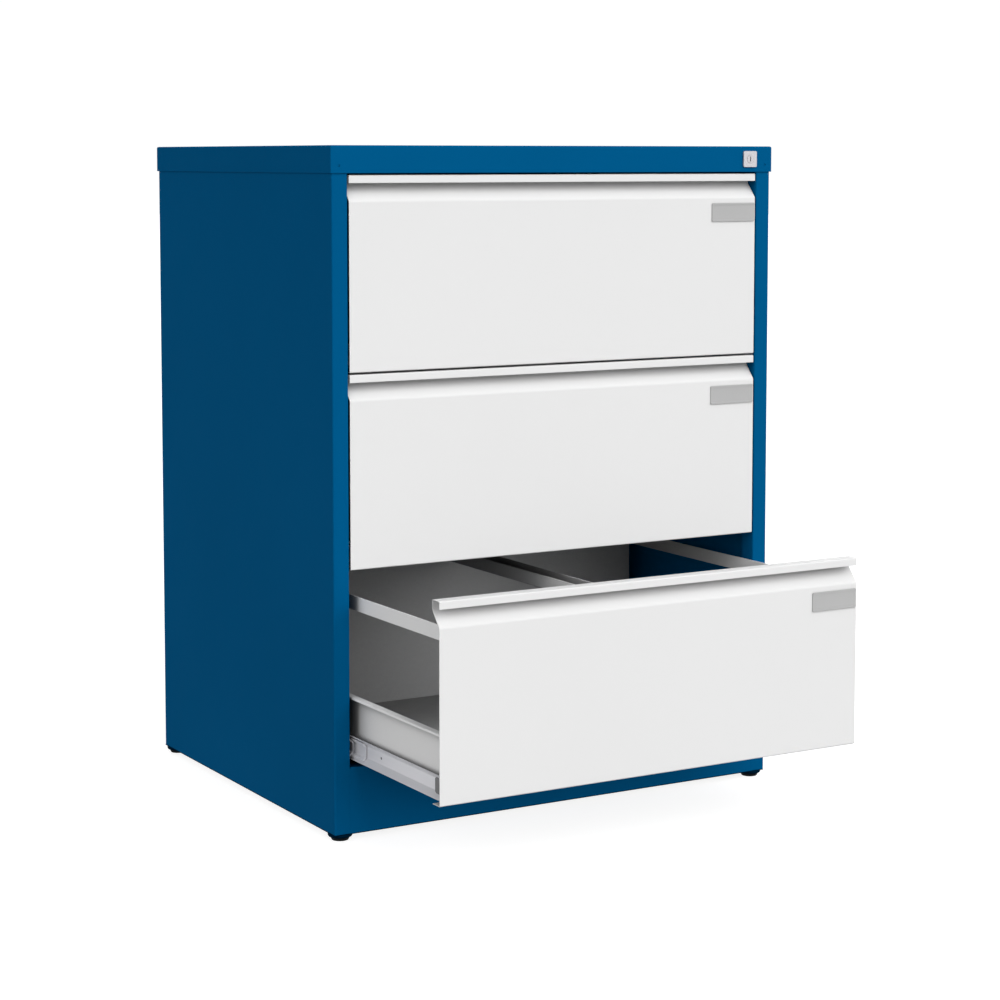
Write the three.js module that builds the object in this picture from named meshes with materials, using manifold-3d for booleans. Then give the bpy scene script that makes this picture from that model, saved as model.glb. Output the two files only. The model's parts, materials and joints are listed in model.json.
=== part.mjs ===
import * as THREE from "three";
import { mergeVertices } from "three/addons/utils/BufferGeometryUtils.js";
import Module from "manifold-3d";

const wasm = await Module();
wasm.setup();

// Sizes in millimetres. X runs to the right, Y to the back and Z up.
// The carcass front is the plane Y = 0 while the parts are shaped, and the floor is Z = 0.

// Fits shared by all pieces
const SEAT = 0.3; // gap left where one piece sits on another
const FOLD_RADIUS = 1; // inside radius of an ordinary fold
const FOLD_STEP = Math.PI / 8; // largest turn of one facet in a fold

// Carcass
const BODY_WIDTH = 776;
const BODY_DEPTH = 642;
const CARCASS_SHEET = 1;
const POST_WIDTH = 25.6; // front face of each side panel
const POST_RETURN = 30; // depth of the fold behind the post
const REAR_FLANGE = 20; // fold of each side panel round the back
const BACK_FLANGE = 15; // folds of the back panel along the sides
const PLINTH_HEIGHT = 100;
const PLINTH_LEDGE = 25;
const PLINTH_SEAM = 0.06; // dressed joint between the plinth and each post
const BASE_UPSTAND = 25;
const TOP_RAIL_HEIGHT = 36;
const TOP_RAIL_LEDGE = 14;

// Rear uprights
const UPRIGHT_WIDTH = 40;
const UPRIGHT_FLANGE = 18;
const UPRIGHT_FROM_RUNNER_END = 45; // middle of the upright, forward of the runner's back end

// Top cover
const COVER_HEIGHT = 40;
const COVER_SHEET = 1.2;
const COVER_PLAY = 0.8; // room between the skirt and the carcass
const COVER_RADIUS = 2.5;
const FIXING_HOLE_RADIUS = 1.9;
const FIXING_HOLE_INSET = 11; // from the side of the carcass
const FIXING_HOLE_DROP = 29; // from the top of the cover

// Levelling feet
const FOOT_HEIGHT = 10;
const FOOT_RADIUS = 14.6;
const FOOT_TOE_RADIUS = 13;
const FOOT_TOE_ROUNDING = 1.5;
const FOOT_INSET = 16.5; // from both outer faces of the carcass
const FOOT_STEM_RADIUS = 4;
const FOOT_STEM_LENGTH = 37;
const CUP_RADIUS = 18.4; // steel cup over each foot
const CUP_HEIGHT = 5.2;
const CUP_ROUNDING = 3.6;

// Drawers
const DRAWER_NAMES = ["lower", "middle", "upper"];
const LOWER_OPEN = 266; // the lower drawer stands this far out
const DRAWER_GAP = 2.8; // between fronts, and above and below them
const DRAWER_SHEET = 1;
const DRAWER_REAR_SPACE = 25.7; // behind a closed drawer
const DRAWER_LEDGE = 20; // folds under the tray, at the front and the back
const FRONT_SIDE_GAP = 2.4; // between a front and each post
const FRONT_HEIGHT = 285.6;
const WALL_HEIGHT = 100; // top of the low side walls above the foot of the front
const WALL_FLANGE = 12;
const WALL_LIP = 3;
const BACK_STIFFENER = 12; // fold along the top of the back wall

// Grip along the top of each front
const GRIP_LIP = 11.5;
const GRIP_DEPTH = 21;
const GRIP_SLOPE_START = 37.4; // below the top of the front
const GRIP_SLOPE_END = 13.8;
const GRIP_OUTER_RADIUS = 5;
const GRIP_INNER_RADIUS = 8;

// File rails
const RAIL_DROP = 38.2; // top of the rails below the top of the front
const RAIL_HEIGHT = 21;
const RAIL_THICKNESS = 2;
const RAIL_TAB = 15;
const CENTRE_RAIL_WIDTH = 33;
const CENTRE_RAIL_SHEET = 1.5;

// Label holders
const LABEL_WIDTH = 82;
const LABEL_HEIGHT = 29;
const LABEL_THICKNESS = 1.4;
const LABEL_BACK = 0.4;
const LABEL_LIP = 3;
const LABEL_LIP_THICKNESS = 0.5;
const LABEL_RIM = 1.2;
const LABEL_RADIUS = 2.5;
const LABEL_FROM_EDGE = 1.5;
const LABEL_DROP = 46; // top of the holder below the top of the front

// Runners, each of three channels nested in each other, with rows of balls between their sloped flanges
const RUNNER_SHEET = 1.2;
const RUNNER_CENTRE = 24; // above the foot of the front
const RUNNER_WEB = 19; // height of the drawer member's web
const RUNNER_SLOPE = 0.77; // of the flanges, as an angle
const RUNNER_REACH = 8.7; // of the flanges out from the drawer wall
const RUNNER_BALL = 3.6; // thickness of the rows of balls
const RUNNING_GAP = 0.35;
const RUNNER_WEB_GAP = 1.4; // between the webs of neighbouring members
const RUNNER_DEPTH = 15.3; // from the drawer wall to the post return, less the seats
const CABINET_RUNNER_HEIGHT = 46;
const RUNNER_START = 10; // behind the front face
const RUNNER_HOLE_RADIUS = 2.2;
const RUNNER_HOLE_START = 196; // behind the front face
const RUNNER_HOLE_PITCH = 192;
const RUNNER_HOLE_MARGIN = 10; // least distance from the back end
const MIDDLE_RUNNER_START = 106; // behind the front face, with the drawer closed
const MIDDLE_RUNNER_END_GAP = 7; // short of the other members' back ends

// Central lock
const LOCK_FROM_POST = 15.4; // from the right post to the axis of the plug
const LOCK_PLATE = 25;
const LOCK_PLATE_THICKNESS = 2.5;
const LOCK_PLATE_RADIUS = 2;
const LOCK_BARREL_RADIUS = 9;
const LOCK_BARREL_END = 13; // behind the carcass front
const PLUG_RADIUS = 6.2;
const PLUG_PROUD = 0.5;
const PLUG_TANG_RADIUS = 3;
const KEYWAY_WIDTH = 1.8;
const KEYWAY_HEIGHT = 8;
const KEYWAY_DEPTH = 9;
const CAM_THICKNESS = 2;
const CAM_RADIUS = 6;
const CAM_TIP_RADIUS = 4;
const CRANK = 8.5; // axis of the plug to the axis of the crank pin
const CRANK_REST_ANGLE = -Math.PI / 4; // unlocked; locked is the same angle upwards
const PIN_RADIUS = 2;
const PIN_PLAY = 0.6;
const BAR_THICKNESS = 2;
const BAR_WIDTH = 16;
const BAR_FRONT = 8; // behind the carcass front
const BAR_PLATE_GAP = 4; // behind the cam
const BAR_PLATE_MARGIN = 5; // metal round the slot
const TAB_FRONT = 12; // behind the carcass front
const TAB_HEIGHT = 10;
const TAB_REACH = 10; // out of the post towards the drawers
const TAB_LEVEL = 50; // lower edge of an unlocked tab above the foot of each front
const TAB_SLOT_PLAY = 1.2;
const CATCH_RISE = 3; // clear height between an unlocked tab and its catch
const CATCH_HEIGHT = 10;
const CATCH_FRONT = 17; // behind the front face
const CATCH_LENGTH = 28;
const CATCH_REACH = 12.5;
const CATCH_SHEET = 1.5;

// Levels and planes that follow from the sizes
const HALF_BODY = BODY_WIDTH / 2;
const HALF_OPENING = HALF_BODY - POST_WIDTH;
const HALF_FRONT = HALF_OPENING - FRONT_SIDE_GAP;
const HALF_DRAWER = HALF_OPENING - RUNNER_DEPTH - 2 * SEAT; // to the outside of the tray
const PITCH = FRONT_HEIGHT + DRAWER_GAP;
const PLINTH_TOP = FOOT_HEIGHT + PLINTH_HEIGHT;
const LOWEST_FRONT = PLINTH_TOP + DRAWER_GAP;
const COVER_FOOT = LOWEST_FRONT + DRAWER_NAMES.length * PITCH;
const TOP = COVER_FOOT + COVER_HEIGHT;
const CARCASS_FOOT = FOOT_HEIGHT + CARCASS_SHEET + SEAT;
const CARCASS_TOP = TOP - COVER_SHEET - SEAT;
const COVER_OVERHANG = COVER_SHEET + COVER_PLAY;
const BACK_FACE = BODY_DEPTH - CARCASS_SHEET - SEAT;
const DRAWER_LENGTH = BACK_FACE - CARCASS_SHEET - DRAWER_REAR_SPACE - BACK_STIFFENER;
const TRAY_FOOT = DRAWER_SHEET + SEAT;
const RAIL_TOP = FRONT_HEIGHT - RAIL_DROP;
const INSIDE_FRONT = DRAWER_SHEET + SEAT;
const INSIDE_BACK = DRAWER_LENGTH - DRAWER_SHEET - SEAT;
const RUNNER_FACE = HALF_DRAWER + SEAT;
const RUNNER_STEP = (RUNNER_BALL + RUNNER_SHEET) / 2 + RUNNING_GAP; // from one member's flange to the next
const LOCK_ACROSS = HALF_OPENING - LOCK_FROM_POST;
const LOCK_LEVEL = TOP - COVER_HEIGHT / 2;
const LOCK_FACE = -COVER_OVERHANG - SEAT;
const CAM_FRONT = LOCK_BARREL_END + SEAT;
const CAM_BACK = CAM_FRONT + CAM_THICKNESS;
const BAR_PLATE_FRONT = CAM_BACK + BAR_PLATE_GAP;
const BAR_FACE = HALF_OPENING + CARCASS_SHEET + SEAT;
const BAR_STROKE = 2 * CRANK * Math.sin(Math.abs(CRANK_REST_ANGLE));

// Solid tools

function toSolid(geometry) {
  const plain = geometry.index ? geometry.toNonIndexed() : geometry;
  const positions = new THREE.BufferGeometry();
  positions.setAttribute("position", plain.getAttribute("position"));
  const merged = mergeVertices(positions, 1e-4);
  const mesh = new wasm.Mesh({
    numProp: 3,
    vertProperties: merged.attributes.position.array,
    triVerts: new Uint32Array(merged.index.array),
  });
  return new wasm.Manifold(mesh);
}

function toGeometry(solid) {
  const mesh = solid.getMesh();
  const geometry = new THREE.BufferGeometry();
  geometry.setAttribute("position", new THREE.BufferAttribute(mesh.vertProperties, 3));
  geometry.setIndex(new THREE.BufferAttribute(mesh.triVerts, 1));
  return geometry;
}

function join(...pieces) {
  return toGeometry(pieces.map(toSolid).reduce((whole, next) => whole.add(next)));
}

function cut(base, ...tools) {
  return toGeometry(tools.map(toSolid).reduce((rest, tool) => rest.subtract(tool), toSolid(base)));
}

function shared(first, second) {
  return toGeometry(toSolid(first).intersect(toSolid(second)));
}

// Outlines, as lists of points in a plane

function rectangle(left, low, right, high) {
  return [
    new THREE.Vector2(left, low),
    new THREE.Vector2(right, low),
    new THREE.Vector2(right, high),
    new THREE.Vector2(left, high),
  ];
}

function arc(x, y, radius, from, to, facets) {
  const points = [];
  for (let i = 0; i <= facets; i += 1) {
    const angle = from + ((to - from) * i) / facets;
    points.push(new THREE.Vector2(x + radius * Math.cos(angle), y + radius * Math.sin(angle)));
  }
  return points;
}

function circle(x, y, radius, facets = 24) {
  return arc(x, y, radius, 0, 2 * Math.PI, facets).slice(0, facets);
}

// A rectangle with its upper corners rounded
function archedTop(left, low, right, high, radius) {
  return [
    new THREE.Vector2(left, low),
    new THREE.Vector2(right, low),
    ...arc(right - radius, high - radius, radius, 0, Math.PI / 2, 4),
    ...arc(left + radius, high - radius, radius, Math.PI / 2, Math.PI, 4),
  ];
}

function roundedRectangle(left, low, right, high, radius) {
  return [
    ...arc(right - radius, high - radius, radius, 0, Math.PI / 2, 4),
    ...arc(left + radius, high - radius, radius, Math.PI / 2, Math.PI, 4),
    ...arc(left + radius, low + radius, radius, Math.PI, 1.5 * Math.PI, 4),
    ...arc(right - radius, low + radius, radius, 1.5 * Math.PI, 2 * Math.PI, 4),
  ];
}

// Two circles joined by their outer tangents: an arm that turns about the first one
function arm(x, y, hubRadius, reach, tipRadius, angle) {
  const lean = Math.acos((hubRadius - tipRadius) / reach);
  const tipX = x + reach * Math.cos(angle);
  const tipY = y + reach * Math.sin(angle);
  return [
    ...arc(tipX, tipY, tipRadius, angle - lean, angle + lean, 8),
    ...arc(x, y, hubRadius, angle + lean, angle + 2 * Math.PI - lean, 16),
  ];
}

// The section of a folded sheet. The face runs through sharp corners, and the folds round them off.
// The sheet lies to the left of the face, or to the right where the thickness is negative.
// A corner may carry its own inside radius as a third number.
function foldedSheet(face, thickness) {
  const hand = Math.sign(thickness);
  const gauge = Math.abs(thickness);
  const corners = face.map(([x, y]) => new THREE.Vector2(x, y));
  const heading = (i) => corners[i + 1].clone().sub(corners[i]).normalize();
  const across = (direction) => new THREE.Vector2(-direction.y, direction.x);
  const last = corners.length - 1;
  const near = [corners[0]];
  const far = [corners[0].clone().addScaledVector(across(heading(0)), hand * gauge)];
  for (let i = 1; i < last; i += 1) {
    const before = heading(i - 1);
    const after = heading(i);
    const turn = Math.atan2(before.cross(after), before.dot(after));
    const inside = face[i][2] ?? FOLD_RADIUS;
    const outward = Math.sign(turn) === hand;
    const nearRadius = outward ? inside + gauge : inside;
    const farRadius = outward ? inside : inside + gauge;
    const toCentre = across(before).multiplyScalar(Math.sign(turn));
    const centre = corners[i].clone();
    centre.addScaledVector(before, -nearRadius * Math.tan(Math.abs(turn) / 2));
    centre.addScaledVector(toCentre, nearRadius);
    const from = Math.atan2(-toCentre.y, -toCentre.x);
    const facets = Math.ceil(Math.abs(turn) / FOLD_STEP);
    near.push(...arc(centre.x, centre.y, nearRadius, from, from + turn, facets));
    far.push(...arc(centre.x, centre.y, farRadius, from, from + turn, facets));
  }
  near.push(corners[last]);
  far.push(corners[last].clone().addScaledVector(across(heading(last - 1)), hand * gauge));
  return [...near, ...far.reverse()];
}

// Extrusions

function extrude(outline, length) {
  return new THREE.ExtrudeGeometry(new THREE.Shape(outline), { depth: length, bevelEnabled: false });
}

// An outline in X and Y, carried up Z
function alongZ(outline, from, to) {
  return extrude(outline, to - from).translate(0, 0, from);
}

// An outline in X and Z, carried back along Y
function alongY(outline, from, to) {
  return extrude(outline, to - from).rotateX(Math.PI / 2).translate(0, to, 0);
}

// An outline in Y and Z, carried across X
function alongX(outline, from, to) {
  const turn = new THREE.Matrix4().makeBasis(
    new THREE.Vector3(0, 1, 0),
    new THREE.Vector3(0, 0, 1),
    new THREE.Vector3(1, 0, 0),
  );
  return extrude(outline, to - from).applyMatrix4(turn).translate(from, 0, 0);
}

// Carcass

function sidePanel(side) {
  const face = [
    [side * HALF_OPENING, POST_RETURN],
    [side * HALF_OPENING, 0],
    [side * HALF_BODY, 0],
    [side * HALF_BODY, BODY_DEPTH],
    [side * (HALF_BODY - REAR_FLANGE), BODY_DEPTH],
  ];
  return alongZ(foldedSheet(face, side * CARCASS_SHEET), CARCASS_FOOT, CARCASS_TOP);
}

// The right post is pierced for the tabs of the lock bar and for its slotted plate.
function lockSidePanel() {
  const left = HALF_OPENING - SEAT;
  const right = HALF_OPENING + CARCASS_SHEET + SEAT;
  const front = TAB_FRONT - TAB_SLOT_PLAY;
  const back = TAB_FRONT + BAR_THICKNESS + TAB_SLOT_PLAY;
  const slots = DRAWER_NAMES.map((name, level) => {
    const low = LOWEST_FRONT + level * PITCH + TAB_LEVEL;
    const high = low + TAB_HEIGHT + BAR_STROKE;
    const outline = rectangle(left, front, right, back);
    return alongZ(outline, low - TAB_SLOT_PLAY, high + TAB_SLOT_PLAY);
  });
  const notch = alongZ(
    rectangle(left, BAR_PLATE_FRONT - TAB_SLOT_PLAY, right, POST_RETURN + SEAT),
    barPlateFoot() - TAB_SLOT_PLAY,
    CARCASS_TOP + SEAT,
  );
  return cut(sidePanel(1), ...slots, notch);
}

function backPanel() {
  const half = HALF_BODY - CARCASS_SHEET - SEAT;
  const face = [
    [half, BACK_FACE - BACK_FLANGE],
    [half, BACK_FACE],
    [-half, BACK_FACE],
    [-half, BACK_FACE - BACK_FLANGE],
  ];
  return alongZ(foldedSheet(face, CARCASS_SHEET), CARCASS_FOOT, CARCASS_TOP);
}

function plinth() {
  const face = [
    [PLINTH_LEDGE, PLINTH_TOP],
    [0, PLINTH_TOP],
    [0, CARCASS_FOOT],
  ];
  const half = HALF_OPENING - PLINTH_SEAM;
  return alongX(foldedSheet(face, CARCASS_SHEET), -half, half);
}

function footPlaces() {
  const across = HALF_BODY - FOOT_INSET;
  const back = BODY_DEPTH - FOOT_INSET;
  return {
    front_left_foot: [-across, FOOT_INSET],
    front_right_foot: [across, FOOT_INSET],
    back_left_foot: [-across, back],
    back_right_foot: [across, back],
  };
}

function turned(profile, facets) {
  const points = profile.map(([radius, height]) => new THREE.Vector2(radius, height));
  return new THREE.LatheGeometry(points, facets).rotateX(Math.PI / 2);
}

// A round cup, welded under the base plate
function footCup(x, y) {
  const low = FOOT_HEIGHT - CUP_HEIGHT;
  const high = FOOT_HEIGHT + CARCASS_SHEET / 2;
  const bend = arc(CUP_RADIUS - CUP_ROUNDING, low + CUP_ROUNDING, CUP_ROUNDING, -Math.PI / 2, 0, 4);
  const profile = [[0, low], ...bend.map((point) => point.toArray()), [CUP_RADIUS, high], [0, high]];
  return turned(profile, 32).translate(x, y, 0);
}

function basePlate() {
  const half = HALF_OPENING - SEAT;
  const front = CARCASS_SHEET + SEAT;
  const back = BACK_FACE - CARCASS_SHEET - SEAT;
  const face = [
    [front, FOOT_HEIGHT + BASE_UPSTAND],
    [front, FOOT_HEIGHT],
    [back, FOOT_HEIGHT],
    [back, FOOT_HEIGHT + BASE_UPSTAND],
  ];
  const pan = alongX(foldedSheet(face, CARCASS_SHEET), -half, half);
  const plate = alongZ(
    rectangle(-HALF_BODY, 0, HALF_BODY, BODY_DEPTH),
    FOOT_HEIGHT,
    FOOT_HEIGHT + CARCASS_SHEET,
  );
  const places = Object.values(footPlaces());
  const cups = places.map(([x, y]) => footCup(x, y));
  const holes = places.map(([x, y]) => {
    return alongZ(circle(x, y, FOOT_STEM_RADIUS + SEAT), 0, PLINTH_TOP);
  });
  return cut(join(pan, plate, ...cups), ...holes);
}

// A hat section, from the side panel to the plane of the post return
function rearUpright(side) {
  const wall = HALF_BODY - CARCASS_SHEET - SEAT;
  const seatPlane = HALF_OPENING + CARCASS_SHEET;
  const middle = DRAWER_LENGTH - UPRIGHT_FROM_RUNNER_END;
  const front = middle - UPRIGHT_WIDTH / 2;
  const back = middle + UPRIGHT_WIDTH / 2;
  const face = [
    [side * wall, front - UPRIGHT_FLANGE],
    [side * wall, front],
    [side * seatPlane, front],
    [side * seatPlane, back],
    [side * wall, back],
    [side * wall, back + UPRIGHT_FLANGE],
  ];
  return alongZ(foldedSheet(face, side * CARCASS_SHEET), CARCASS_FOOT, CARCASS_TOP);
}

function lockBore(from, to) {
  return alongY(circle(LOCK_ACROSS, LOCK_LEVEL, LOCK_BARREL_RADIUS + SEAT), from, to);
}

function topRail() {
  const face = [
    [TOP_RAIL_LEDGE, CARCASS_TOP],
    [0, CARCASS_TOP],
    [0, CARCASS_TOP - TOP_RAIL_HEIGHT],
  ];
  const half = HALF_OPENING - SEAT;
  const rail = alongX(foldedSheet(face, CARCASS_SHEET), -half, half);
  return cut(rail, lockBore(-SEAT, CARCASS_SHEET + SEAT));
}

// A block whose upper edges are rounded all round
function lidBlock(half, front, back, low, high, radius) {
  return shared(
    alongY(archedTop(-half, low, half, high, radius), front, back),
    alongX(archedTop(front, low, back, high, radius), -half, half),
  );
}

function topCover() {
  const half = HALF_BODY + COVER_OVERHANG;
  const front = -COVER_OVERHANG;
  const back = BODY_DEPTH + COVER_OVERHANG;
  const outside = lidBlock(half, front, back, COVER_FOOT, TOP, COVER_RADIUS);
  const inside = lidBlock(
    half - COVER_SHEET,
    front + COVER_SHEET,
    back - COVER_SHEET,
    COVER_FOOT - SEAT,
    TOP - COVER_SHEET,
    COVER_RADIUS - COVER_SHEET,
  );
  const skirtBack = front + COVER_SHEET + SEAT;
  const fixings = [-1, 1].map((side) => {
    const x = side * (HALF_BODY - FIXING_HOLE_INSET);
    return alongY(circle(x, TOP - FIXING_HOLE_DROP, FIXING_HOLE_RADIUS, 16), front - SEAT, skirtBack);
  });
  return cut(outside, inside, lockBore(front - SEAT, skirtBack), ...fixings);
}

// A levelling foot: a tapered pad with a threaded stem, turned about its own axis
function foot() {
  const top = FOOT_HEIGHT - CUP_HEIGHT - SEAT;
  const round = FOOT_TOE_ROUNDING;
  const toe = arc(FOOT_TOE_RADIUS - round, round, round, -Math.PI / 2, 0, 3);
  return turned([
    [0, 0],
    ...toe.map((point) => point.toArray()),
    [FOOT_RADIUS, top],
    [FOOT_STEM_RADIUS, top],
    [FOOT_STEM_RADIUS, top + FOOT_STEM_LENGTH - 1],
    [FOOT_STEM_RADIUS - 1, top + FOOT_STEM_LENGTH],
    [0, top + FOOT_STEM_LENGTH],
  ], 32);
}

// Central lock

function lockHousing() {
  const reach = LOCK_PLATE / 2;
  const square = roundedRectangle(
    LOCK_ACROSS - reach,
    LOCK_LEVEL - reach,
    LOCK_ACROSS + reach,
    LOCK_LEVEL + reach,
    LOCK_PLATE_RADIUS,
  );
  const plate = alongY(square, LOCK_FACE - LOCK_PLATE_THICKNESS, LOCK_FACE);
  const barrel = alongY(
    circle(LOCK_ACROSS, LOCK_LEVEL, LOCK_BARREL_RADIUS),
    LOCK_FACE - LOCK_PLATE_THICKNESS / 2,
    LOCK_BARREL_END,
  );
  const bore = alongY(
    circle(LOCK_ACROSS, LOCK_LEVEL, PLUG_RADIUS + SEAT),
    LOCK_FACE - LOCK_PLATE_THICKNESS - SEAT,
    LOCK_BARREL_END + SEAT,
  );
  return cut(join(plate, barrel), bore);
}

function lockPlug() {
  const front = LOCK_FACE - LOCK_PLATE_THICKNESS - PLUG_PROUD;
  const plug = alongY(circle(LOCK_ACROSS, LOCK_LEVEL, PLUG_RADIUS), front, LOCK_BARREL_END);
  const tang = alongY(
    circle(LOCK_ACROSS, LOCK_LEVEL, PLUG_TANG_RADIUS),
    LOCK_BARREL_END - SEAT,
    CAM_BACK + SEAT,
  );
  const keyway = alongY(
    rectangle(
      LOCK_ACROSS - KEYWAY_WIDTH / 2,
      LOCK_LEVEL - KEYWAY_HEIGHT / 2,
      LOCK_ACROSS + KEYWAY_WIDTH / 2,
      LOCK_LEVEL + KEYWAY_HEIGHT / 2,
    ),
    front - SEAT,
    front + KEYWAY_DEPTH,
  );
  return cut(join(plug, tang), keyway);
}

function pinPlace() {
  return [
    LOCK_ACROSS + CRANK * Math.cos(CRANK_REST_ANGLE),
    LOCK_LEVEL + CRANK * Math.sin(CRANK_REST_ANGLE),
  ];
}

function lockCam() {
  const outline = arm(
    LOCK_ACROSS,
    LOCK_LEVEL,
    CAM_RADIUS,
    CRANK,
    CAM_TIP_RADIUS,
    CRANK_REST_ANGLE,
  );
  const [x, z] = pinPlace();
  const pinEnd = BAR_PLATE_FRONT + 2 * BAR_THICKNESS;
  const pin = alongY(circle(x, z, PIN_RADIUS), CAM_BACK - CAM_THICKNESS / 2, pinEnd);
  const hole = alongY(
    circle(LOCK_ACROSS, LOCK_LEVEL, PLUG_TANG_RADIUS + SEAT),
    CAM_FRONT - SEAT,
    CAM_BACK + SEAT,
  );
  return cut(join(alongY(outline, CAM_FRONT, CAM_BACK), pin), hole);
}

// The slot gives the crank pin room sideways and lifts with it.
function barSlot() {
  const [x, z] = pinPlace();
  return {
    left: x - PIN_RADIUS - PIN_PLAY,
    right: LOCK_ACROSS + CRANK + PIN_RADIUS + PIN_PLAY,
    low: z - PIN_RADIUS - PIN_PLAY,
    high: z + PIN_RADIUS + PIN_PLAY,
  };
}

function barPlateFoot() {
  return barSlot().low - BAR_PLATE_MARGIN;
}

function lockBar() {
  const back = BAR_FACE + BAR_THICKNESS;
  const slot = barSlot();
  const plateTop = slot.high + BAR_PLATE_MARGIN;
  const strip = alongZ(
    rectangle(BAR_FACE, BAR_FRONT, back, BAR_FRONT + BAR_WIDTH),
    LOWEST_FRONT + TAB_LEVEL - TAB_HEIGHT,
    plateTop,
  );
  const plate = alongY(
    rectangle(slot.left - BAR_PLATE_MARGIN, barPlateFoot(), back, plateTop),
    BAR_PLATE_FRONT,
    BAR_PLATE_FRONT + BAR_THICKNESS,
  );
  const opening = alongY(
    rectangle(slot.left, slot.low, slot.right, slot.high),
    BAR_PLATE_FRONT - SEAT,
    BAR_PLATE_FRONT + BAR_THICKNESS + SEAT,
  );
  const tabs = DRAWER_NAMES.map((name, level) => {
    const low = LOWEST_FRONT + level * PITCH + TAB_LEVEL;
    const outline = rectangle(HALF_OPENING - TAB_REACH, low, back, low + TAB_HEIGHT);
    return alongY(outline, TAB_FRONT, TAB_FRONT + BAR_THICKNESS);
  });
  return cut(join(strip, plate, ...tabs), opening);
}

// Drawer pieces, about the foot of the front: Y = 0 is its face and Z = 0 its lower edge

function drawerFront() {
  const ceiling = FRONT_HEIGHT - DRAWER_SHEET;
  const recess = GRIP_DEPTH - DRAWER_SHEET;
  const face = [
    [DRAWER_LEDGE, 0],
    [0, 0],
    [0, FRONT_HEIGHT - GRIP_SLOPE_START, GRIP_OUTER_RADIUS],
    [recess, FRONT_HEIGHT - GRIP_SLOPE_END, GRIP_INNER_RADIUS],
    [recess, ceiling],
    [DRAWER_SHEET, ceiling],
    [DRAWER_SHEET, FRONT_HEIGHT - GRIP_LIP],
  ];
  return alongX(foldedSheet(face, -DRAWER_SHEET), -HALF_FRONT, HALF_FRONT);
}

function drawerTray() {
  const inside = HALF_DRAWER - DRAWER_SHEET;
  const edge = HALF_DRAWER + WALL_FLANGE;
  const floor = TRAY_FOOT + DRAWER_SHEET;
  const face = [
    [-edge, WALL_HEIGHT - WALL_LIP],
    [-edge, WALL_HEIGHT],
    [-inside, WALL_HEIGHT],
    [-inside, floor],
    [inside, floor],
    [inside, WALL_HEIGHT],
    [edge, WALL_HEIGHT],
    [edge, WALL_HEIGHT - WALL_LIP],
  ];
  return alongY(foldedSheet(face, -DRAWER_SHEET), INSIDE_FRONT, INSIDE_BACK);
}

function drawerBack() {
  const face = [
    [DRAWER_LENGTH - DRAWER_LEDGE, 0],
    [DRAWER_LENGTH, 0],
    [DRAWER_LENGTH, RAIL_TOP - DRAWER_SHEET],
    [DRAWER_LENGTH + BACK_STIFFENER, RAIL_TOP - DRAWER_SHEET],
  ];
  return alongX(foldedSheet(face, DRAWER_SHEET), -HALF_DRAWER, HALF_DRAWER);
}

function fileRail(side) {
  const face = [
    [side * (HALF_DRAWER - RAIL_TAB), INSIDE_FRONT],
    [side * HALF_DRAWER, INSIDE_FRONT],
    [side * HALF_DRAWER, INSIDE_BACK],
    [side * (HALF_DRAWER - RAIL_TAB), INSIDE_BACK],
  ];
  return alongZ(foldedSheet(face, side * RAIL_THICKNESS), RAIL_TOP - RAIL_HEIGHT, RAIL_TOP);
}

function centreRail() {
  const half = CENTRE_RAIL_WIDTH / 2;
  const face = [
    [-half, RAIL_TOP],
    [-half, RAIL_TOP - RAIL_HEIGHT],
    [half, RAIL_TOP - RAIL_HEIGHT],
    [half, RAIL_TOP],
  ];
  return alongY(foldedSheet(face, CENTRE_RAIL_SHEET), INSIDE_FRONT, INSIDE_BACK);
}

// A holder open at both ends, so that a card slides behind its lips
function labelHolder() {
  const high = FRONT_HEIGHT - LABEL_DROP;
  const low = high - LABEL_HEIGHT;
  const back = -SEAT;
  const floor = back - LABEL_BACK;
  const front = back - LABEL_THICKNESS;
  const behindLip = front + LABEL_LIP_THICKNESS;
  const outline = [
    [back, low],
    [back, high],
    [front, high],
    [front, high - LABEL_LIP],
    [behindLip, high - LABEL_LIP],
    [behindLip, high - LABEL_RIM],
    [floor, high - LABEL_RIM],
    [floor, low + LABEL_RIM],
    [behindLip, low + LABEL_RIM],
    [behindLip, low + LABEL_LIP],
    [front, low + LABEL_LIP],
    [front, low],
  ].map(([y, z]) => new THREE.Vector2(y, z));
  const right = HALF_FRONT - LABEL_FROM_EDGE;
  const left = right - LABEL_WIDTH;
  const plate = alongY(roundedRectangle(left, low, right, high, LABEL_RADIUS), front - SEAT, 0);
  return shared(alongX(outline, left, right), plate);
}

function lockCatch() {
  const low = TAB_LEVEL + TAB_HEIGHT + CATCH_RISE;
  const face = [
    [RUNNER_FACE, CATCH_FRONT + CATCH_LENGTH],
    [RUNNER_FACE, CATCH_FRONT],
    [RUNNER_FACE + CATCH_REACH, CATCH_FRONT],
  ];
  return alongZ(foldedSheet(face, CATCH_SHEET), low, low + CATCH_HEIGHT);
}

// Runners: across is measured outwards from the drawer wall, and the members count the same way

// The level of a flange above the runner's middle, on the face that looks at the drawer
function flangeLevel(member, across) {
  const inset = (member * RUNNER_STEP) / Math.cos(RUNNER_SLOPE);
  return RUNNER_WEB / 2 + across * Math.tan(RUNNER_SLOPE) - inset;
}

function runnerChannel(side, member, upper, from, to) {
  const web = member * (RUNNER_SHEET + RUNNER_WEB_GAP);
  const half = [...upper, [web, flangeLevel(member, web)]];
  const mirrored = half.map(([across, up]) => [across, -up]).reverse();
  const corners = [...half, ...mirrored];
  const face = corners.map(([across, up]) => [side * (RUNNER_FACE + across), RUNNER_CENTRE + up]);
  return alongY(foldedSheet(face, side * RUNNER_SHEET), from, to);
}

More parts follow.
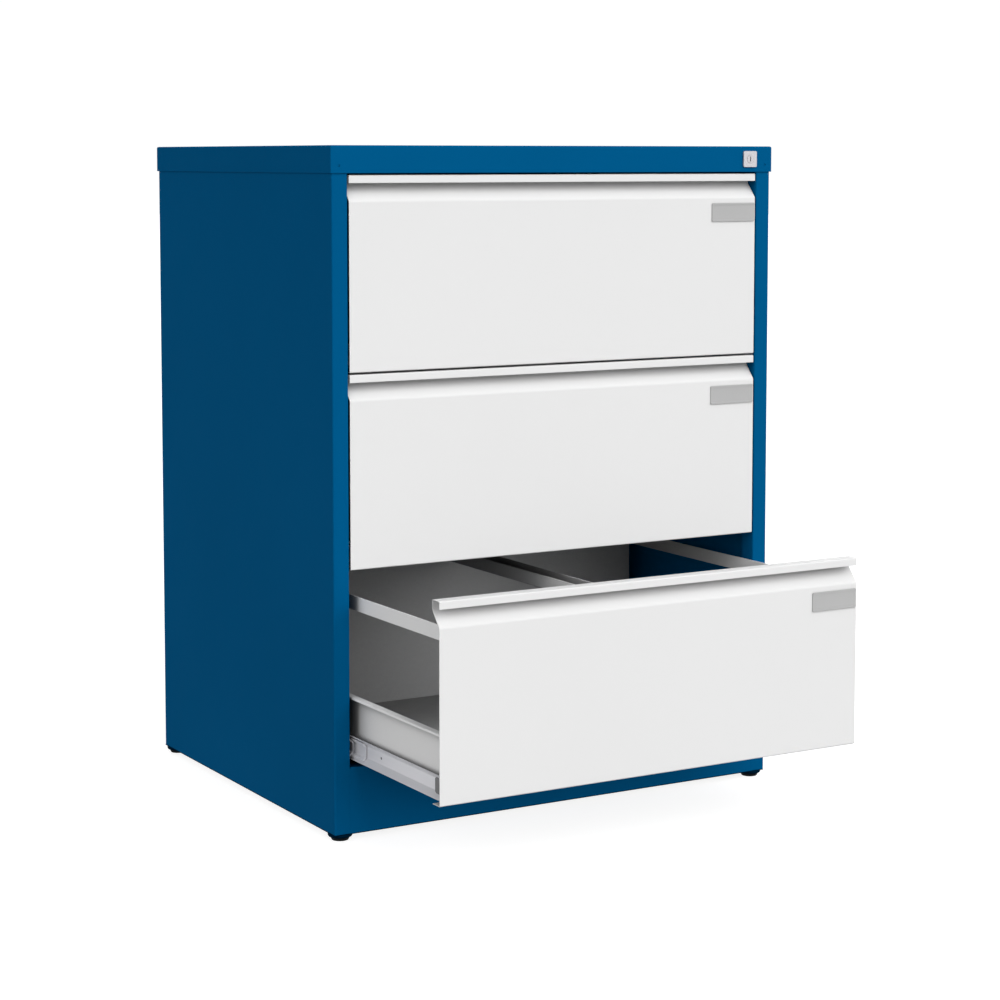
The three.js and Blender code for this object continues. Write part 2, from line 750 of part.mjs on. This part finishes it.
function drawerRunner(side) {
  const tip = [RUNNER_REACH, flangeLevel(0, RUNNER_REACH)];
  const channel = runnerChannel(side, 0, [tip], RUNNER_START, DRAWER_LENGTH);
  const wall = side * RUNNER_FACE;
  const holes = [];
  for (let y = RUNNER_HOLE_START; y < DRAWER_LENGTH - RUNNER_HOLE_MARGIN; y += RUNNER_HOLE_PITCH) {
    const outline = circle(y, RUNNER_CENTRE, RUNNER_HOLE_RADIUS, 16);
    holes.push(alongX(outline, wall - 2 * RUNNER_SHEET, wall + 2 * RUNNER_SHEET));
  }
  return cut(channel, ...holes);
}

// The rows of balls stand out from both faces of the middle member's flanges.
function middleRunner(side) {
  const end = DRAWER_LENGTH - MIDDLE_RUNNER_END_GAP;
  const tip = [RUNNER_REACH, flangeLevel(1, RUNNER_REACH)];
  const channel = runnerChannel(side, 1, [tip], MIDDLE_RUNNER_START, end);
  const web = RUNNER_SHEET + RUNNER_WEB_GAP;
  const across = (web + RUNNER_REACH + RUNNER_SHEET * Math.sin(RUNNER_SLOPE)) / 2;
  const level = flangeLevel(1, across) - RUNNER_SHEET / 2 / Math.cos(RUNNER_SLOPE);
  const rows = [-1, 1].map((up) => {
    const row = circle(side * (RUNNER_FACE + across), RUNNER_CENTRE + up * level, RUNNER_BALL / 2, 12);
    return alongY(row, MIDDLE_RUNNER_START, end);
  });
  return join(channel, ...rows);
}

// The legs of the cabinet member lie against the post and the rear upright.
function cabinetRunner(side) {
  const seat = RUNNER_DEPTH - RUNNER_SHEET;
  const leg = [
    [seat, CABINET_RUNNER_HEIGHT / 2],
    [seat, flangeLevel(2, seat)],
  ];
  return runnerChannel(side, 2, leg, RUNNER_START, DRAWER_LENGTH);
}

// Finishes

function finish(colour, roughness, metalness) {
  return () => new THREE.MeshStandardMaterial({ color: colour, roughness, metalness });
}

const blueEnamel = finish(0x00578a, 0.45, 0);
const whiteEnamel = finish(0xe9e9e9, 0.45, 0);
const zincSteel = finish(0xb4b6ba, 0.35, 1);
const polishedNickel = finish(0xcfd0d6, 0.25, 1);
const greyPlastic = finish(0xb8b8b8, 0.55, 0);
const blackPlastic = finish(0x17191b, 0.6, 0);

// Assembly

const cabinet = new THREE.Group();
cabinet.name = "filing_cabinet";

function add(parent, name, geometry, makeMaterial) {
  const mesh = new THREE.Mesh(geometry, makeMaterial());
  mesh.name = name;
  parent.add(mesh);
  return mesh;
}

add(cabinet, "left_side_panel", sidePanel(-1), blueEnamel);
add(cabinet, "right_side_panel", lockSidePanel(), blueEnamel);
add(cabinet, "back_panel", backPanel(), blueEnamel);
add(cabinet, "plinth", plinth(), blueEnamel);
add(cabinet, "base_plate", basePlate(), blueEnamel);
add(cabinet, "left_rear_upright", rearUpright(-1), blueEnamel);
add(cabinet, "right_rear_upright", rearUpright(1), blueEnamel);
add(cabinet, "front_top_rail", topRail(), blueEnamel);
add(cabinet, "top_cover", topCover(), blueEnamel);

Object.entries(footPlaces()).forEach(([name, [x, y]]) => {
  add(cabinet, name, foot(), blackPlastic).position.set(x, y, 0);
});

add(cabinet, "lock_housing", lockHousing(), polishedNickel);
add(cabinet, "lock_plug", lockPlug(), polishedNickel);
add(cabinet, "lock_cam", lockCam(), zincSteel);
add(cabinet, "lock_bar", lockBar(), zincSteel);

function addDrawer(name, level) {
  const open = level === 0 ? LOWER_OPEN : 0;
  const low = LOWEST_FRONT + level * PITCH;

  const fixed = new THREE.Group();
  fixed.position.set(0, 0, low);
  add(fixed, `${name}_left_cabinet_runner`, cabinetRunner(-1), zincSteel);
  add(fixed, `${name}_right_cabinet_runner`, cabinetRunner(1), zincSteel);

  // The middle members follow the drawer at half its travel.
  const following = new THREE.Group();
  following.position.set(0, -open / 2, low);
  add(following, `${name}_left_middle_runner`, middleRunner(-1), zincSteel);
  add(following, `${name}_right_middle_runner`, middleRunner(1), zincSteel);

  const drawer = new THREE.Group();
  drawer.position.set(0, -open, low);
  add(drawer, `${name}_front`, drawerFront(), whiteEnamel);
  add(drawer, `${name}_tray`, drawerTray(), whiteEnamel);
  add(drawer, `${name}_back`, drawerBack(), whiteEnamel);
  add(drawer, `${name}_left_rail`, fileRail(-1), whiteEnamel);
  add(drawer, `${name}_right_rail`, fileRail(1), whiteEnamel);
  add(drawer, `${name}_centre_rail`, centreRail(), whiteEnamel);
  add(drawer, `${name}_label_holder`, labelHolder(), greyPlastic);
  add(drawer, `${name}_lock_catch`, lockCatch(), zincSteel);
  add(drawer, `${name}_left_drawer_runner`, drawerRunner(-1), zincSteel);
  add(drawer, `${name}_right_drawer_runner`, drawerRunner(1), zincSteel);

  cabinet.add(fixed, following, drawer);
}

DRAWER_NAMES.forEach(addDrawer);

// The origin lies on the floor, midway between the foremost label holder and the back of the cover.
const foremost = -LOWER_OPEN - SEAT - LABEL_THICKNESS;
const rearmost = BODY_DEPTH + COVER_OVERHANG;
cabinet.position.y = -(foremost + rearmost) / 2;

export default cabinet;
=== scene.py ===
import json
import math

import bmesh
import bpy
from mathutils import Matrix, Vector


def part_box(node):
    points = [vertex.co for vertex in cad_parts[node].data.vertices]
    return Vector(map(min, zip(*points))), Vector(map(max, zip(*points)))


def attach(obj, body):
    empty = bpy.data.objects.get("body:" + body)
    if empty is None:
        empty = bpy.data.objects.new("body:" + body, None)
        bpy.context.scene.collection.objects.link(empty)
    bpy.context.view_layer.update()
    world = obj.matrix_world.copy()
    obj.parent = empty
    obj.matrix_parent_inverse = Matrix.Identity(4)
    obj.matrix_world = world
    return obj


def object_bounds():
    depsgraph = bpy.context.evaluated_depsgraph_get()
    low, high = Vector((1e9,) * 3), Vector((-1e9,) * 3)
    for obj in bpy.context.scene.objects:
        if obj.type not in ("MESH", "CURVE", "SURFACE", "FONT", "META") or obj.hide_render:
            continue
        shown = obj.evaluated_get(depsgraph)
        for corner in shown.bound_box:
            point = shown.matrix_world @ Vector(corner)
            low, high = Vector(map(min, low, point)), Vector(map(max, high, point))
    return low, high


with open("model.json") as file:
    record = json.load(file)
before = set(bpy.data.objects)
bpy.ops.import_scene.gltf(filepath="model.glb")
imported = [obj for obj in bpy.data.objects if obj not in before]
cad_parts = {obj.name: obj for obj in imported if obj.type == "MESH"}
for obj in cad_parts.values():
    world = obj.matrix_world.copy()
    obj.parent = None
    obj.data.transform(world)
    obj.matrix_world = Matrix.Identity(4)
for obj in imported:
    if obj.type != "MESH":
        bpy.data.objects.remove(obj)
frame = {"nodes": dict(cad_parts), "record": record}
cad_low, cad_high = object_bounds()

MM = 0.001
DRAWERS = ("lower", "middle", "upper")
SIDES = (("left", -1), ("right", 1))
scene = bpy.context.scene


# Materials. Colours are linear, and noise scales count per metre.

def grey(value):
    return (value, value, value)


def scaled(colour, share):
    return tuple(channel * share for channel in colour)


BLUE = (0.0, 0.080, 0.208)
# A darker copy of the blue: painted shade for the base plate and its foot cups
PAINTED_SHADE_BLUE = (0.0, 0.012, 0.03)
WHITE = grey(0.67)
# The white of the drawers' insides, under their painted shade
INSIDE_WHITE = grey(0.76)
ZINC = (0.69, 0.69, 0.72)
NICKEL = (0.45, 0.44, 0.46)
# Near black for the runner screws: painted shade of the holes they sit in
BLACK_STEEL_PAINTED_SHADE = (0.05, 0.05, 0.055)
LABEL_GREY = grey(0.39)
# The buffers' dark grey is painted shade of the gap at each runner's front end
BUFFER_PAINTED_SHADE_GREY = (0.16, 0.16, 0.165)
BLACK = (0.003, 0.005, 0.007)
MARK_TONE = 0.93  # of the colour, in the rolling marks of plated steel
FLOW_TONE = 0.95  # of the colour, where moulded plastic is darkest

BLUE_COAT = {"drift": 0.03, "rough": 0.6, "specular": 0.003}
WHITE_COAT = {"drift": 0.008, "rough": 0.5, "specular": 0.1}

# Painted shades, darkened into the base colour: how far around a point other sheets count, in metres,
# the darkest tone, and the shares of free space at which the tone starts to rise and is full
INSIDE_SHADE = {"reach": 0.4, "darkest": 0.25, "start": 0.22, "end": 0.68}
GAP_SHADE = {"reach": 0.03, "darkest": 0.42, "start": 0.25, "end": 0.6}
LIP_SHADE = {"reach": 0.04, "darkest": 0.72, "start": 0.2, "end": 1.0}
SHADE_SAMPLES = 20

# The colour sockets of a Mix node
MIX_FIRST, MIX_SECOND, MIX_RESULT = 6, 7, 2


def new_material(name):
    material = bpy.data.materials.new(name)
    material.use_nodes = True
    tree = material.node_tree
    return material, tree, tree.nodes["Principled BSDF"]


def link(tree, source, target):
    tree.links.new(source, target)


def noise(tree, scale, detail, roughness=0.5, stretch=(1, 1, 1)):
    """A noise texture in the object's own metres."""
    place = tree.nodes.new("ShaderNodeTexCoord")
    mapping = tree.nodes.new("ShaderNodeMapping")
    mapping.inputs["Scale"].default_value = stretch
    texture = tree.nodes.new("ShaderNodeTexNoise")
    texture.inputs["Scale"].default_value = scale
    texture.inputs["Detail"].default_value = detail
    texture.inputs["Roughness"].default_value = roughness
    link(tree, place.outputs["Object"], mapping.inputs["Vector"])
    link(tree, mapping.outputs["Vector"], texture.inputs["Vector"])
    return texture.outputs["Fac"]


def ramp(tree, factor, low, high, start=0.3, end=0.7):
    """Runs from one colour to another as the factor rises from start to end."""
    node = tree.nodes.new("ShaderNodeValToRGB")
    first, last = node.color_ramp.elements
    first.position = start
    last.position = end
    first.color = (*low, 1)
    last.color = (*high, 1)
    link(tree, factor, node.inputs["Fac"])
    return node.outputs["Color"]


def gloss(tree, shader, factor, rough, swing):
    """A roughness that swings to both sides of a middle value."""
    patches = ramp(tree, factor, grey(rough - swing), grey(rough + swing))
    link(tree, patches, shader.inputs["Roughness"])


def bump(tree, shader, height, strength, distance):
    node = tree.nodes.new("ShaderNodeBump")
    node.inputs["Strength"].default_value = strength
    node.inputs["Distance"].default_value = distance
    link(tree, height, node.inputs["Height"])
    link(tree, node.outputs["Normal"], shader.inputs["Normal"])


def shaded(tree, coat, reach, darkest, start, end):
    """The coat, darkened by painted shade where other sheets close it in."""
    free = tree.nodes.new("ShaderNodeAmbientOcclusion")
    free.samples = SHADE_SAMPLES
    free.inputs["Distance"].default_value = reach
    tone = ramp(tree, free.outputs["AO"], grey(darkest), grey(1.0), start, end)
    blend = tree.nodes.new("ShaderNodeMix")
    blend.data_type = "RGBA"
    blend.blend_type = "MULTIPLY"
    blend.inputs["Factor"].default_value = 1.0
    link(tree, coat, blend.inputs[MIX_FIRST])
    link(tree, tone, blend.inputs[MIX_SECOND])
    return blend.outputs[MIX_RESULT]


def enamel(name, colour, shade, drift, rough, specular):
    """Stove enamel on sheet steel: a coat with fine orange peel, a faint drift of tone and painted
    shade.
    """
    material, tree, shader = new_material(name)
    drifting = noise(tree, scale=2.5, detail=3)
    coat = ramp(tree, drifting, scaled(colour, 1 - drift), scaled(colour, 1 + drift))
    link(tree, shaded(tree, coat, **shade), shader.inputs["Base Color"])
    gloss(tree, shader, noise(tree, scale=30, detail=4), rough, swing=0.05)
    shader.inputs["Specular IOR Level"].default_value = specular
    bump(tree, shader, noise(tree, scale=650, detail=2), strength=0.05, distance=0.3 * MM)
    return material


def plated(name, colour, metal, rough, grain, stretch=(1, 1, 1)):
    """Dull plated steel, with rolling marks where the noise is stretched."""
    material, tree, shader = new_material(name)
    shader.inputs["Metallic"].default_value = metal
    marks = noise(tree, scale=60, detail=4, roughness=0.6, stretch=stretch)
    coat = ramp(tree, marks, scaled(colour, MARK_TONE), colour)
    link(tree, coat, shader.inputs["Base Color"])
    gloss(tree, shader, marks, rough, swing=0.08)
    bump(tree, shader, marks, grain, distance=0.2 * MM)
    return material


def moulded(name, colour, rough, grain, specular=0.3):
    """Moulded plastic with a fine spark grain."""
    material, tree, shader = new_material(name)
    body = ramp(tree, noise(tree, scale=8, detail=3), scaled(colour, FLOW_TONE), colour)
    link(tree, body, shader.inputs["Base Color"])
    gloss(tree, shader, noise(tree, scale=90, detail=3), rough, swing=0.06)
    shader.inputs["Specular IOR Level"].default_value = specular
    bump(tree, shader, noise(tree, scale=1400, detail=1), grain, distance=0.3 * MM)
    return material


ALONG_Y = (1, 0.05, 1)  # marks that run along the runners
finishes = {
    # The blue enamel carries painted shade in narrow gaps and seams
    "blue_enamel": enamel("blue_enamel", BLUE, GAP_SHADE, **BLUE_COAT),
    # The white enamel carries painted shade on the slopes under the lips of the grips
    "white_enamel": enamel("white_enamel", WHITE, LIP_SHADE, **WHITE_COAT),
    "zinc_steel": plated("zinc_steel", ZINC, metal=0.25, rough=0.5, grain=0.05, stretch=ALONG_Y),
    "nickel_lock": plated("nickel_lock", NICKEL, metal=0.5, rough=0.55, grain=0.02),
    "grey_plastic": moulded("grey_plastic", LABEL_GREY, rough=0.5, grain=0.08),
    "black_plastic": moulded("black_plastic", BLACK, rough=0.55, grain=0.15, specular=0.05),
}
# A copy of the white enamel with painted shade, dark deep inside the drawers
white_inside_painted_shade = enamel("white_inside_painted_shade", INSIDE_WHITE, INSIDE_SHADE, **WHITE_COAT)
black_steel_painted_shade = plated("black_steel_painted_shade", BLACK_STEEL_PAINTED_SHADE, metal=0.6, rough=0.5, grain=0.03)
buffer_painted_shade_grey = moulded("buffer_painted_shade_grey", BUFFER_PAINTED_SHADE_GREY, rough=0.6, grain=0.1)
blue_underside_painted_shade = enamel("blue_underside_painted_shade", PAINTED_SHADE_BLUE, GAP_SHADE, **BLUE_COAT)
card_grey = moulded("card_grey", LABEL_GREY, rough=0.7, grain=0.05)


# CAD nodes: finishes and softened edges

EDGE_ROUND = 0.25 * MM
FINE_ROUND = 0.08 * MM  # for thin sheets and close fits
WELD_REACH = 2e-6
FLAT_ANGLE = math.radians(0.5)
ROUNDED_ANGLE = math.radians(50)
SHARP_ANGLE = math.radians(35)


def smoothing_group():
    """Shades faces smooth and keeps edges over the sharp angle sharp."""
    group = bpy.data.node_groups.new("smooth_folds", "GeometryNodeTree")
    group.is_modifier = True
    group.interface.new_socket("Geometry", in_out="INPUT", socket_type="NodeSocketGeometry")
    group.interface.new_socket("Geometry", in_out="OUTPUT", socket_type="NodeSocketGeometry")
    into = group.nodes.new("NodeGroupInput")
    out = group.nodes.new("NodeGroupOutput")
    faces = group.nodes.new("GeometryNodeSetShadeSmooth")
    faces.domain = "FACE"
    edges = group.nodes.new("GeometryNodeSetShadeSmooth")
    edges.domain = "EDGE"
    edges.inputs["Shade Smooth"].default_value = False
    angle = group.nodes.new("GeometryNodeInputMeshEdgeAngle")
    compare = group.nodes.new("FunctionNodeCompare")
    compare.operation = "GREATER_THAN"
    compare.inputs["B"].default_value = SHARP_ANGLE
    link(group, angle.outputs["Unsigned Angle"], compare.inputs["A"])
    link(group, compare.outputs["Result"], edges.inputs["Selection"])
    link(group, into.outputs["Geometry"], faces.inputs["Geometry"])
    link(group, faces.outputs["Geometry"], edges.inputs["Geometry"])
    link(group, edges.outputs["Geometry"], out.inputs["Geometry"])
    return group


smooth_folds = smoothing_group()


def soften(obj, width):
    """Rounds the cut edges by a hair, so that they catch the light."""
    weld = obj.modifiers.new("weld", "WELD")
    weld.merge_threshold = WELD_REACH
    flat = obj.modifiers.new("flat", "DECIMATE")
    flat.decimate_type = "DISSOLVE"
    flat.angle_limit = FLAT_ANGLE
    bevel = obj.modifiers.new("bevel", "BEVEL")
    bevel.limit_method = "ANGLE"
    bevel.angle_limit = ROUNDED_ANGLE
    bevel.width = width
    bevel.segments = 2
    bevel.use_clamp_overlap = True
    smooth = obj.modifiers.new("smooth", "NODES")
    smooth.node_group = smooth_folds
    normals = obj.modifiers.new("normals", "WEIGHTED_NORMAL")
    normals.keep_sharp = True


def dress(node, material):
    frame["nodes"][node].material_slots[0].material = material


slot_of = {part["node"]: part["material_slot"] for part in frame["record"]["subparts"]}
for node, obj in frame["nodes"].items():
    dress(node, finishes[slot_of[node]])
    fine = node.endswith(("_runner", "_label_holder")) or node == "plinth"
    soften(obj, FINE_ROUND if fine else EDGE_ROUND)
# Painted shade: the base plate and its foot cups take the darker blue
dress("base_plate", blue_underside_painted_shade)
# The drawers' insides take the white with painted shade
for drawer in DRAWERS:
    for word in ("tray", "back", "left_rail", "right_rail", "centre_rail"):
        dress(f"{drawer}_{word}", white_inside_painted_shade)


# Small pieces. Profiles and places are in millimetres.

def make_piece(name, mesh, material, body):
    obj = bpy.data.objects.new(name, mesh)
    scene.collection.objects.link(obj)
    mesh.materials.append(material)
    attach(obj, body)


def mesh_from(name, bm):
    """A mesh with its faces turned outwards."""
    mesh = bpy.data.meshes.new(name)
    bmesh.ops.recalc_face_normals(bm, faces=bm.faces)
    bm.to_mesh(mesh)
    bm.free()
    return mesh


def drawn_out(name, outline, way):
    """A prism: an outline of points in a plane, drawn out along a vector."""
    bm = bmesh.new()
    face = bm.faces.new([bm.verts.new(point) for point in outline])
    far = bmesh.ops.extrude_face_region(bm, geom=[face])
    moved = [v for v in far["geom"] if isinstance(v, bmesh.types.BMVert)]
    bmesh.ops.translate(bm, verts=moved, vec=way)
    return mesh_from(name, bm)


def turned(name, profile, steps=24):
    """A solid of revolution about Y: the profile gives radius and depth along it."""
    bm = bmesh.new()
    rings = []
    for radius, depth in profile:
        if radius == 0:
            rings.append([bm.verts.new((0, depth * MM, 0))])
            continue
        ring = []
        for step in range(steps):
            angle = 2 * math.pi * step / steps
            x = radius * MM * math.cos(angle)
            z = radius * MM * math.sin(angle)
            ring.append(bm.verts.new((x, depth * MM, z)))
        rings.append(ring)
    for near, far in zip(rings, rings[1:]):
        for step in range(steps):
            after = (step + 1) % steps
            corners = [near[step % len(near)], near[after % len(near)]]
            corners += [far[after % len(far)], far[step % len(far)]]
            bm.faces.new(list(dict.fromkeys(corners)))
    for face in bm.faces:
        face.smooth = True
    return mesh_from(name, bm)


CARD_NARROWER = 1.2
CARD_LOWER = 2.8
CARD_THICKNESS = 0.25
CARD_CORNER = 1.0
CARD_PROUD = 0.78  # the card's face in front of the holder's back
CORNER_STEPS = 4


def label_card(drawer):
    """A blank card with rounded corners, behind the lips of a label holder."""
    low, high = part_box(f"{drawer}_label_holder")
    radius = CARD_CORNER * MM
    half_width = (high.x - low.x - CARD_NARROWER * MM) / 2
    half_height = (high.z - low.z - CARD_LOWER * MM) / 2
    outline = []
    for quarter, (sx, sz) in enumerate(((1, 1), (-1, 1), (-1, -1), (1, -1))):
        for step in range(CORNER_STEPS + 1):
            angle = (quarter + step / CORNER_STEPS) * math.pi / 2
            x = sx * (half_width - radius) + radius * math.cos(angle)
            z = sz * (half_height - radius) + radius * math.sin(angle)
            outline.append((x, 0, z))
    name = f"{drawer}_label_card"
    mesh = drawn_out(name, outline, (0, CARD_THICKNESS * MM, 0))
    place = ((low.x + high.x) / 2, high.y - CARD_PROUD * MM, (low.z + high.z) / 2)
    mesh.transform(Matrix.Translation(place))
    make_piece(name, mesh, card_grey, f"{drawer}_drawer")


COVER_RIVET = ((0, 0.9), (1.1, 0.9), (1.25, 0.5), (1.55, 0.55), (1.75, 0.8), (1.75, 1.9), (0, 1.9))
COVER_RIVET_IN = 13
COVER_RIVET_DOWN = 29


def cover_rivet(word, side):
    """A hollow rivet, sunk a little, that holds the cover to a post."""
    low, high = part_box("top_cover")
    edge = low.x if side < 0 else high.x
    name = f"{word}_cover_rivet"
    mesh = turned(name, COVER_RIVET)
    place = (edge - side * COVER_RIVET_IN * MM, low.y, high.z - COVER_RIVET_DOWN * MM)
    mesh.transform(Matrix.Translation(place))
    make_piece(name, mesh, finishes["blue_enamel"], "cabinet")


BACK_RIVET = ((0, 1.1), (1.2, 1.0), (2.2, 0.65), (2.8, 0.1), (2.8, -0.4), (0, -0.4))
BACK_RIVETS = 6
BACK_RIVET_IN = 9.5
FIRST_RIVET_UP = 70
RIVET_ENDS = 180  # the height below the first rivet and above the last


def back_rivets(word, side):
    """Domed rivets that hold the back panel to the flange of a side panel."""
    low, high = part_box(f"{word}_side_panel")
    edge = low.x if side < 0 else high.x
    pitch = (high.z - low.z - RIVET_ENDS * MM) / (BACK_RIVETS - 1)
    for count in range(BACK_RIVETS):
        name = f"{word}_back_rivet_{count}"
        mesh = turned(name, BACK_RIVET)
        rise = low.z + FIRST_RIVET_UP * MM + count * pitch
        place = (edge - side * BACK_RIVET_IN * MM, high.y, rise)
        mesh.transform(Matrix.Translation(place))
        make_piece(name, mesh, finishes["blue_enamel"], "cabinet")


FOLD = 2.0 * MM  # outside radius of the carcass folds
FOLD_GAP = 0.06 * MM  # between the plinth's end and the post
WELD_END = 0.02 * MM  # the weld's own end, clear of the plinth
WELD_CLEAR = 0.03 * MM  # between the weld and the fold
WELD_POINTS = 8
WELD_FIRST_ANGLE = 9.8
WELD_ANGLE_STEP = 7


def plinth_weld(word, side):
    """A dressed weld that fills the fold between the plinth and a post."""
    low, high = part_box("plinth")
    end = high.x + WELD_END
    axis = high.x + FOLD_GAP + FOLD
    reach = FOLD + WELD_CLEAR
    section = [(end, 0.0)]
    for step in range(WELD_POINTS):
        angle = math.radians(WELD_FIRST_ANGLE + WELD_ANGLE_STEP * step)
        section.append((axis - reach * math.sin(angle), FOLD - reach * math.cos(angle)))
    section.append((end, section[-1][1]))
    outline = [(side * x, low.y + max(y, 0), low.z) for x, y in section]
    name = f"{word}_plinth_weld"
    mesh = drawn_out(name, outline, (0, 0, high.z - FOLD - low.z))
    make_piece(name, mesh, finishes["blue_enamel"], "cabinet")


RUNNER_GAP = 0.3  # between a drawer runner and the drawer's wall
SCREW_HEAD = ((0, 0.75), (0.9, 0.75), (1.0, 0.25), (1.6, 0.2), (1.95, 0.4), (1.95, 1.15), (0, 1.15))
SCREW_STEPS = 18
SCREW_OUT = 1.5  # the head's face, from the drawer's wall
SCREW_PLACES = (196, 388, 580)  # behind the drawer's front
BUFFER_SECTIONS = ((10, 0.6), (10.6, 0), (26, 0), (30, 2.2))  # behind the front, and how much lower
BUFFER_NEAR, BUFFER_FAR = 1.7, 4.4  # its two faces, from the drawer's wall
BUFFER_HALF_HEIGHT = 7.5  # at the wall
BUFFER_FLARE = 0.97  # what half the height gains over its distance from the wall
BUFFER_EDGE = 0.3


def runner_screw(name, drawer, side, place):
    """A sunk screw head with a socket, facing away from the drawer."""
    mesh = turned(name, SCREW_HEAD, SCREW_STEPS)
    mesh.transform(Matrix.Rotation(side * math.pi / 2, 4, "Z"))
    mesh.transform(Matrix.Translation(place))
    # The head's near black is painted shade of its hole
    make_piece(name, mesh, black_steel_painted_shade, f"{drawer}_drawer")


def runner_buffer(name, drawer, side, wall, front, level):
    """A plastic block between the flanges of a runner, narrowed to a nose at its back."""
    bm = bmesh.new()
    rings = []
    for back, lower in BUFFER_SECTIONS:
        ring = []
        for across, sign in ((BUFFER_NEAR, -1), (BUFFER_FAR, -1), (BUFFER_FAR, 1), (BUFFER_NEAR, 1)):
            half = BUFFER_HALF_HEIGHT + BUFFER_FLARE * across - lower
            corner = (wall + side * across * MM, front + back * MM, level + sign * half * MM)
            ring.append(bm.verts.new(corner))
        rings.append(ring)
    for near, far in zip(rings, rings[1:]):
        for step in range(4):
            after = (step + 1) % 4
            bm.faces.new((near[step], near[after], far[after], far[step]))
    bm.faces.new(rings[0])
    bm.faces.new(rings[-1])
    bmesh.ops.recalc_face_normals(bm, faces=bm.faces)
    bmesh.ops.bevel(bm, geom=bm.edges[:], offset=BUFFER_EDGE * MM, segments=1, affect="EDGES")
    # The block's dark grey is painted shade of the gap at the runner's front end
    make_piece(name, mesh_from(name, bm), buffer_painted_shade_grey, f"{drawer}_drawer")


def runner_fittings(drawer, word, side):
    """The screws that hold a drawer runner to the drawer, and the buffer in its front end."""
    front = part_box(f"{drawer}_front")[0].y
    low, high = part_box(f"{drawer}_{word}_drawer_runner")
    inner = high.x if side < 0 else low.x
    wall = inner - side * RUNNER_GAP * MM
    level = (low.z + high.z) / 2
    for count, back in enumerate(SCREW_PLACES):
        place = (wall + side * SCREW_OUT * MM, front + back * MM, level)
        runner_screw(f"{drawer}_{word}_runner_screw_{count}", drawer, side, place)
    runner_buffer(f"{drawer}_{word}_runner_buffer", drawer, side, wall, front, level)


for drawer in DRAWERS:
    label_card(drawer)
for word, side in SIDES:
    cover_rivet(word, side)
for word, side in SIDES:
    back_rivets(word, side)
for word, side in SIDES:
    plinth_weld(word, side)
for drawer in DRAWERS:
    for word, side in SIDES:
        runner_fittings(drawer, word, side)


# Stage

STAGE_REACH = 40.0
BACKDROP_SEGMENTS = 48
STUDIO_LIGHT = grey(0.21)


def stage_sheet(name, bm, tone, glow):
    """A matt sheet of the studio: its glow whitens the picture and lights nothing."""
    mesh = bpy.data.meshes.new(name)
    bm.to_mesh(mesh)
    bm.free()
    obj = bpy.data.objects.new(name, mesh)
    scene.collection.objects.link(obj)
    material, _, shader = new_material(name)
    shader.inputs["Base Color"].default_value = (*grey(tone), 1)
    shader.inputs["Emission Color"].default_value = (1, 1, 1, 1)
    shader.inputs["Emission Strength"].default_value = glow
    shader.inputs["Roughness"].default_value = 0.9
    shader.inputs["Specular IOR Level"].default_value = 0.0
    mesh.materials.append(material)
    obj.visible_diffuse = False
    return obj


floor_sheet = bmesh.new()
bmesh.ops.create_grid(floor_sheet, x_segments=1, y_segments=1, size=STAGE_REACH)
floor = stage_sheet("floor", floor_sheet, tone=0.35, glow=0.86)
floor.location.z = cad_low.z

tube = bmesh.new()
bmesh.ops.create_cone(
    tube, segments=BACKDROP_SEGMENTS, radius1=STAGE_REACH, radius2=STAGE_REACH, depth=2 * STAGE_REACH)
backdrop = stage_sheet("backdrop", tube, tone=0.0, glow=1.02)
backdrop.visible_glossy = False
backdrop.visible_shadow = False

world = bpy.data.worlds.new("studio")
world.use_nodes = True
world.node_tree.nodes["Background"].inputs["Color"].default_value = (*STUDIO_LIGHT, 1)
scene.world = world


def sun(name, source, strength, spread):
    """A soft light from far away in the direction of its source; the spread is in degrees."""
    light = bpy.data.lights.new(name, "SUN")
    light.energy = strength
    light.angle = math.radians(spread)
    obj = bpy.data.objects.new(name, light)
    obj.rotation_euler = (-Vector(source)).to_track_quat("-Z", "Y").to_euler()
    scene.collection.objects.link(obj)


sun("key", source=(0.45, -0.87, 0.6), strength=3.09, spread=70)
sun("side", source=(-1.0, -0.5, 0.3), strength=1.74, spread=70)
sun("top", source=(0, -0.7, 1.0), strength=0.12, spread=70)
sun("back", source=(0.45, 1.0, 0.4), strength=1.3, spread=50)

scene.view_settings.view_transform = "Standard"
scene.view_settings.look = "None"


# Camera, at the photograph's height and angle

SENSOR_WIDTH = 36
FOCAL_RATIO = 2.40790  # focal length over the sensor's width
CAMERA_PLACE = (-1.92647, -3.28562, 0.99912)
CAMERA_YAW = 0.52559
CAMERA_PITCH = math.radians(5.0)

camera_data = bpy.data.cameras.new("camera")
camera_data.sensor_width = SENSOR_WIDTH
camera_data.lens = SENSOR_WIDTH * FOCAL_RATIO
camera_data.shift_x = 0.01242
camera_data.shift_y = -0.13099
camera_data.clip_end = 5 * STAGE_REACH
camera = bpy.data.objects.new("camera", camera_data)
camera.location = CAMERA_PLACE
level_part = math.cos(CAMERA_PITCH)
heading = Vector((
    math.sin(CAMERA_YAW) * level_part, math.cos(CAMERA_YAW) * level_part, -math.sin(CAMERA_PITCH)))
camera.rotation_euler = heading.to_track_quat("-Z", "Y").to_euler()
scene.collection.objects.link(camera)
scene.camera = camera
